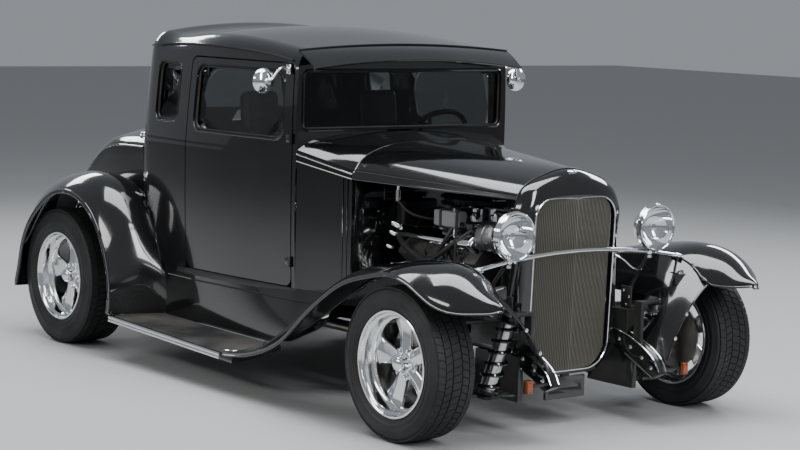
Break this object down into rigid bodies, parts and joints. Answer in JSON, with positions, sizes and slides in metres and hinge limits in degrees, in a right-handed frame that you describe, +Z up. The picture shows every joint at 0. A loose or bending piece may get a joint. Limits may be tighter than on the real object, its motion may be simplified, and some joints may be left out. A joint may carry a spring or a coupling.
{
  "type": "hot rod coupe",
  "caption": "Black fendered hot rod coupe with an open engine bay, upright barred grille, chrome lamps, running boards and five-spoke wheels that roll and steer.",
  "frame": {"origin": "centre of the bounding box, on the ground", "axes": "+X forward, +Y to the car's left, +Z up"},
  "size_m": [3.4622, 1.716, 1.541],
  "materials": {
    "gloss_black": "gloss",
    "chassis_black": "satin",
    "chrome": "polished",
    "polished_alloy": "polished",
    "tyre": "matte",
    "dark_glass": "clear",
    "clear_glass": "clear",
    "amber": "gloss",
    "red": "gloss",
    "engine_metal": "satin",
    "steel": "satin",
    "seat_leather": "satin",
    "dark_plastic": "matte"
  },
  "bodies": {
    "chassis": {"cab_shell": "gloss_black", "cowl": "gloss_black", "hood_top": "gloss_black", "rear_deck": "gloss_black", "visor": "gloss_black", "grille_shell": "gloss_black", "front_fender_left": "gloss_black", "front_fender_right": "gloss_black", "rear_fender_left": "gloss_black", "rear_fender_right": "gloss_black", "running_board_left": "gloss_black", "running_board_right": "gloss_black", "window_glass": "dark_glass", "floor_pan": "chassis_black", "frame_rail_left": "chassis_black", "frame_rail_right": "chassis_black", "crossmembers": "chassis_black", "suspension": "chassis_black", "steering_rack": "chassis_black", "drivetrain": "chassis_black", "radiator": "chassis_black", "fuel_tank": "chassis_black", "exhaust": "steel", "engine": "engine_metal", "grille_insert": "chrome", "headlights": "chrome", "headlight_lenses": "clear_glass", "marker_lamps": "amber", "tail_lamps": "red", "seats": "seat_leather", "dashboard": "dark_plastic", "steering_wheel": "dark_plastic"},
    "door_left": {"door_left": "gloss_black", "door_glass_left": "dark_glass", "mirror_left": "chrome"},
    "door_right": {"door_right": "gloss_black", "door_glass_right": "dark_glass", "mirror_right": "chrome"},
    "deck_lid": {"deck_lid": "gloss_black"},
    "knuckle_left": {"knuckle_left": "chassis_black"},
    "knuckle_right": {"knuckle_right": "chassis_black"},
    "tie_rods": {"tie_rods": "steel"},
    "wheel_front_left": {"front_rim_left": "polished_alloy", "front_tyre_left": "tyre"},
    "wheel_front_right": {"front_rim_right": "polished_alloy", "front_tyre_right": "tyre"},
    "wheel_rear_left": {"rear_rim_left": "polished_alloy", "rear_tyre_left": "tyre"},
    "wheel_rear_right": {"rear_rim_right": "polished_alloy", "rear_tyre_right": "tyre"}
  },
  "joints": [
    {"name": "door_left_hinge", "type": "hinge", "parent": "chassis", "child": "door_left", "pos_m": [0.227, 0.592, 0.9], "axis": [0, 0, -1], "range_deg": [0, 70]},
    {"name": "door_right_hinge", "type": "hinge", "parent": "chassis", "child": "door_right", "pos_m": [0.227, -0.592, 0.9], "axis": [0, 0, 1], "range_deg": [0, 70]},
    {"name": "deck_lid_hinge", "type": "hinge", "parent": "chassis", "child": "deck_lid", "pos_m": [-1.059, 0, 1.075], "axis": [0, 1, 0], "range_deg": [0, 60]},
    {"name": "steer_left", "type": "hinge", "parent": "chassis", "child": "knuckle_left", "pos_m": [1.271, 0.622, 0.302], "axis": [0, 0, 1], "range_deg": [-28, 28]},
    {"name": "steer_right", "type": "hinge", "parent": "chassis", "child": "knuckle_right", "pos_m": [1.271, -0.622, 0.302], "axis": [0, 0, 1], "range_deg": [-28, 28]},
    {"name": "rack_slide", "type": "slide", "parent": "chassis", "child": "tie_rods", "axis": [0, 1, 0], "range_m": [-0.069, 0.069]},
    {"name": "spin_front_left", "type": "hinge", "parent": "knuckle_left", "child": "wheel_front_left", "pos_m": [1.271, 0.747, 0.302], "axis": [0, 1, 0], "continuous": true},
    {"name": "spin_front_right", "type": "hinge", "parent": "knuckle_right", "child": "wheel_front_right", "pos_m": [1.271, -0.747, 0.302], "axis": [0, 1, 0], "continuous": true},
    {"name": "spin_rear_left", "type": "hinge", "parent": "chassis", "child": "wheel_rear_left", "pos_m": [-1.358, 0.716, 0.322], "axis": [0, 1, 0], "continuous": true},
    {"name": "spin_rear_right", "type": "hinge", "parent": "chassis", "child": "wheel_rear_right", "pos_m": [-1.358, -0.716, 0.322], "axis": [0, 1, 0], "continuous": true}
  ],
  "couplings": [
    {"joint": "steer_right", "follows": "steer_left", "ratio": 1},
    {"joint": "rack_slide", "follows": "steer_left", "m_per_rad": -0.14}
  ]
}
